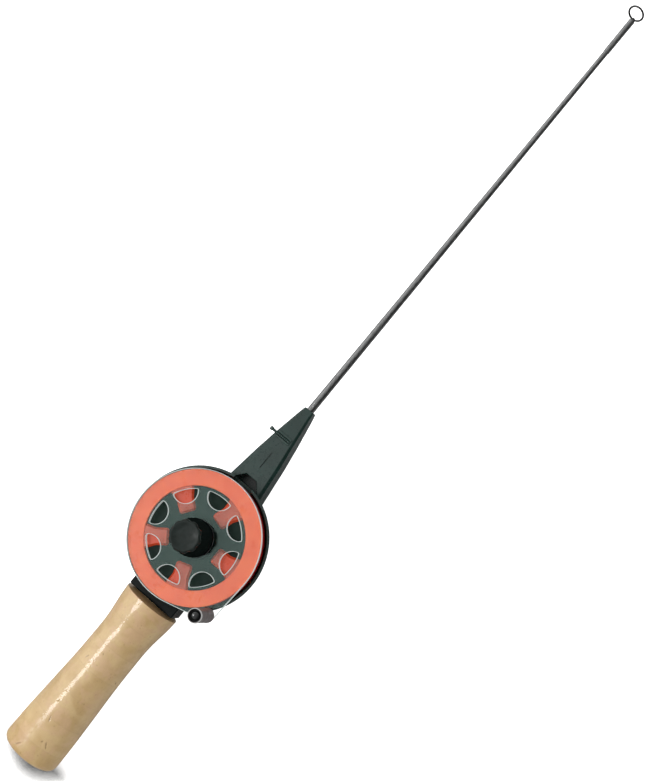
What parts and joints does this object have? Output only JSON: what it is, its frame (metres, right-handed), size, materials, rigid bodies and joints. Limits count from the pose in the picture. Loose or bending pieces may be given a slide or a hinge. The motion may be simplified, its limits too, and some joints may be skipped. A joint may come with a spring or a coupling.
{
  "type": "ice fishing rod",
  "caption": "Short ice fishing rod with a cork grip, a black reel frame, an orange spool under a clear crank plate, a drag knob, a crank knob, a slim whip and a wire tip ring.",
  "frame": {"origin": "where the reel axle's line meets the surface that the rod lies on, at the middle of the rear boss's flat face", "axes": "+X along the rod towards its tip, +Z along the reel axle towards the crank plate, +Y to the left when looking along +X from above"},
  "size_m": [0.4427, 0.0666, 0.0562],
  "materials": {
    "frame_plastic": "moulded black plastic, satin gloss",
    "cork": "turned natural cork under a clear film",
    "whip_black": "glossy lacquered solid glass fibre",
    "tip_wire": "darkened spring wire",
    "sleeve_black": "black sleeve",
    "steel": "plated steel",
    "spool_orange": "moulded orange plastic",
    "hub_black": "moulded black plastic, satin",
    "bushing_brass": "machined",
    "felt": "pressed felt",
    "clear_plate": "clear moulded plastic",
    "knob_black": "charcoal moulded plastic",
    "crank_knob_black": "dark moulded plastic"
  },
  "bodies": {
    "rod": {"reel_frame": "frame_plastic", "cork_ring_1": "cork", "cork_ring_2": "cork", "cork_ring_3": "cork", "cork_ring_4": "cork", "cork_ring_5": "cork", "cork_ring_6": "cork", "cork_butt_ring": "cork", "whip_blank": "whip_black", "tip_sleeve": "sleeve_black", "tip_ring": "tip_wire", "line_keeper_pin": "frame_plastic", "reel_axle": "steel", "axle_washer": "steel", "axle_nut": "steel", "rear_cap": "frame_plastic", "plate_pressure_washer": "steel", "drag_spring": "steel"},
    "spool": {"spool_hub": "hub_black", "hub_bushing": "bushing_brass", "spool_front_ring": "spool_orange", "spool_rear_flange": "spool_orange", "drag_felt_washer": "felt"},
    "crank": {"crank_plate": "clear_plate", "crank_knob_pin": "knob_black"},
    "crank_knob": {"crank_knob": "crank_knob_black"},
    "spring_cap": {"spring_cap_washer": "steel"},
    "drag_knob": {"drag_knob": "knob_black", "drag_knob_nut": "bushing_brass"}
  },
  "joints": [
    {"name": "spool_spin", "type": "hinge", "parent": "rod", "child": "spool", "pos_m": [0, 0, 0.02], "axis": [0, 0, 1], "continuous": true},
    {"name": "crank_slip", "type": "hinge", "parent": "spool", "child": "crank", "pos_m": [0, 0, 0.033], "axis": [0, 0, 1], "continuous": true},
    {"name": "crank_knob_spin", "type": "hinge", "parent": "crank", "child": "crank_knob", "pos_m": [-0.02185, -0.02747, 0.034], "axis": [0, 0, 1], "continuous": true},
    {"name": "spring_cap_lift", "type": "slide", "parent": "rod", "child": "spring_cap", "axis": [0, 0, 1], "range_m": [0, 0.0012], "deforming": ["drag_spring"]},
    {"name": "drag_knob_turn", "type": "hinge", "parent": "spring_cap", "child": "drag_knob", "pos_m": [0, 0, 0.042], "axis": [0, 0, 1], "range_deg": [0, 540]}
  ],
  "couplings": [
    {"joint": "drag_knob_turn", "follows": "spring_cap_lift", "rad_per_m": 7854}
  ]
}
